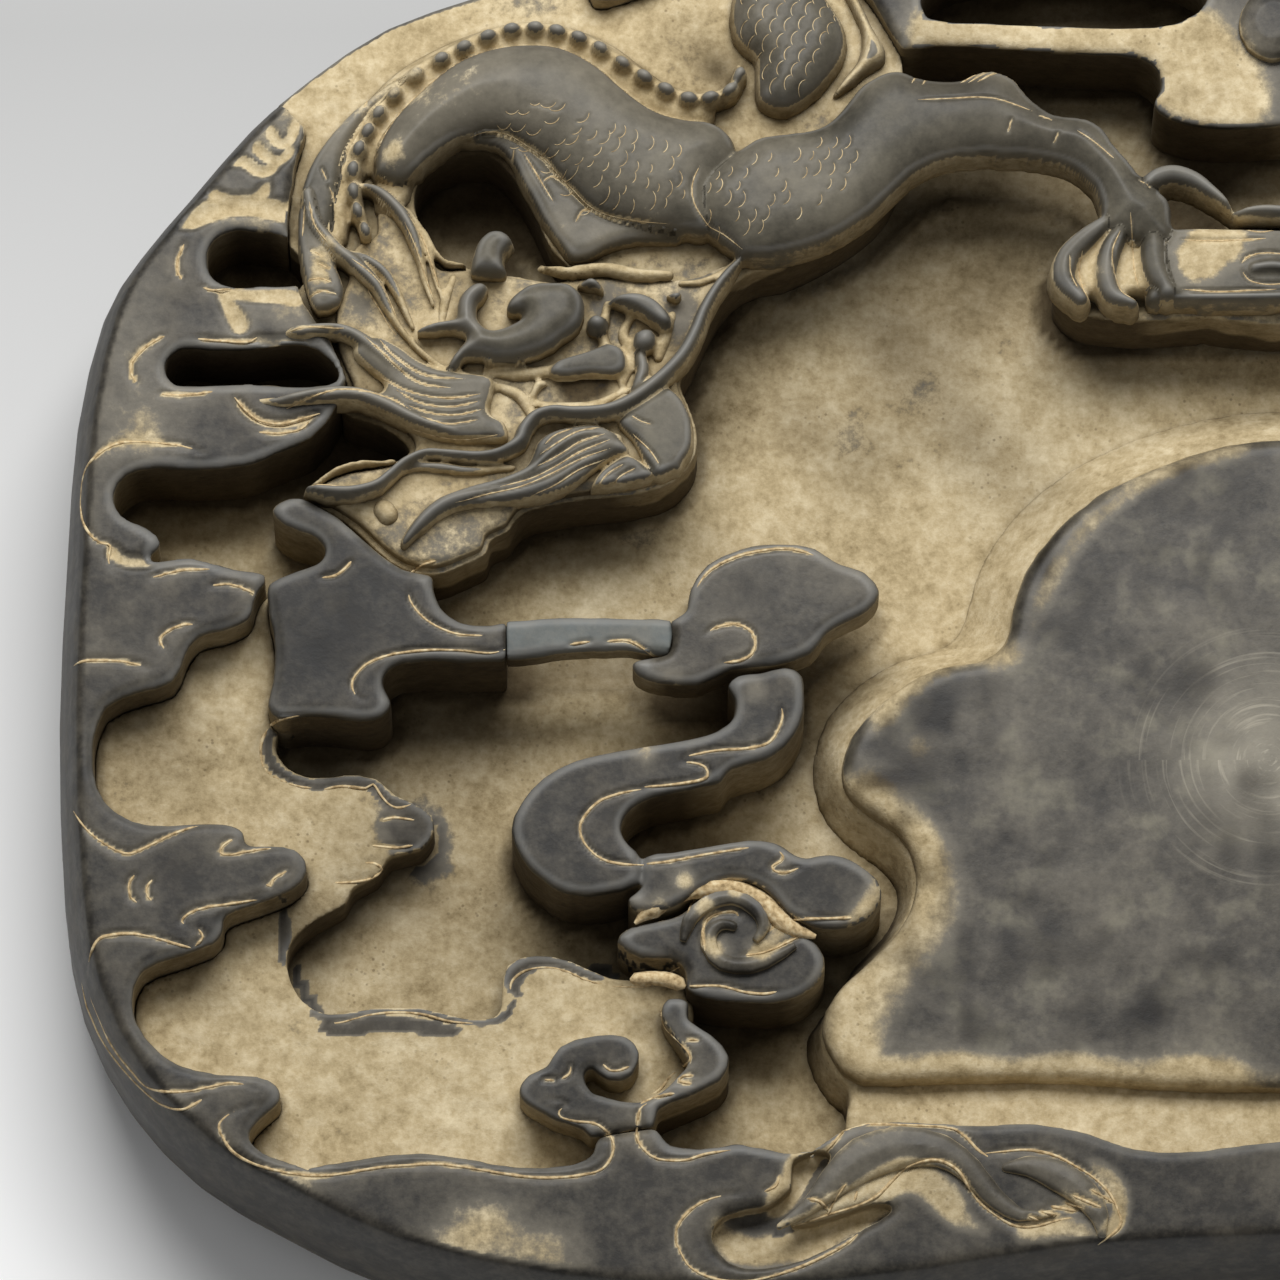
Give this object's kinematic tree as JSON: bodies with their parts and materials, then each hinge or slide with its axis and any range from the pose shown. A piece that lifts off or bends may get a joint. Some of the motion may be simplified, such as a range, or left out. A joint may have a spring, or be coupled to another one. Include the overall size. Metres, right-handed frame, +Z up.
{
  "type": "ink stone",
  "caption": "Large carved ink stone: a dragon among clouds round a deep ink pool and a raised grinding field, with a cloud arm and a foreleg bridging the pool.",
  "frame": {"origin": "middle of the flat underside, below the middle of the widest outline", "axes": "+X along the stone's length, to the user's right; +Y away from the user, towards the dragon's side; +Z up from the table"},
  "size_m": [0.376, 0.295, 0.055],
  "materials": {
    "carved_stone": "dark slate, carved and worn smooth, satin, ochre dust in the cuts",
    "side_stone": "dark slate, ground sides and pool floor, matt, dusty in the pools",
    "dusty_stone": "dark slate under a coat of dry ochre dust, matt",
    "field_stone": "honed slate, mottled, with fine swirling grinding marks",
    "arm_stone": "blue-grey slate, worn smooth, joined again at a break",
    "dark_stone": "near-black slate, worn smooth, satin, with small pits"
  },
  "bodies": {
    "root": {"base_slab": "side_stone", "rim_west": "carved_stone", "rim_south": "carved_stone", "rim_east": "carved_stone", "rim_north": "carved_stone", "cloud_terrace": "dusty_stone", "pool_bank": "dusty_stone", "grinding_field": "field_stone", "dragon_ground": "dusty_stone", "claw_rock": "dusty_stone", "cloud_west": "carved_stone", "cloud_arm": "arm_stone", "cloud_head": "dark_stone", "cloud_scroll": "carved_stone", "cloud_lobe": "carved_stone", "cloud_swirl": "carved_stone", "cloud_curls": "carved_stone", "cloud_ruyi": "carved_stone", "cloud_knob": "carved_stone", "wave_wings": "carved_stone", "dragon_body": "carved_stone", "dragon_back": "carved_stone", "dragon_spine": "carved_stone", "dragon_belly": "carved_stone", "dragon_tail": "carved_stone", "dragon_foreleg": "carved_stone", "dragon_claws": "carved_stone", "head_bed": "carved_stone", "dragon_head": "carved_stone", "dragon_snout": "carved_stone", "dragon_eye": "carved_stone", "dragon_horns": "carved_stone", "dragon_jaw": "carved_stone", "dragon_mane": "carved_stone", "dragon_beard": "carved_stone", "pearl_bar": "carved_stone"}
  },
  "joints": []
}
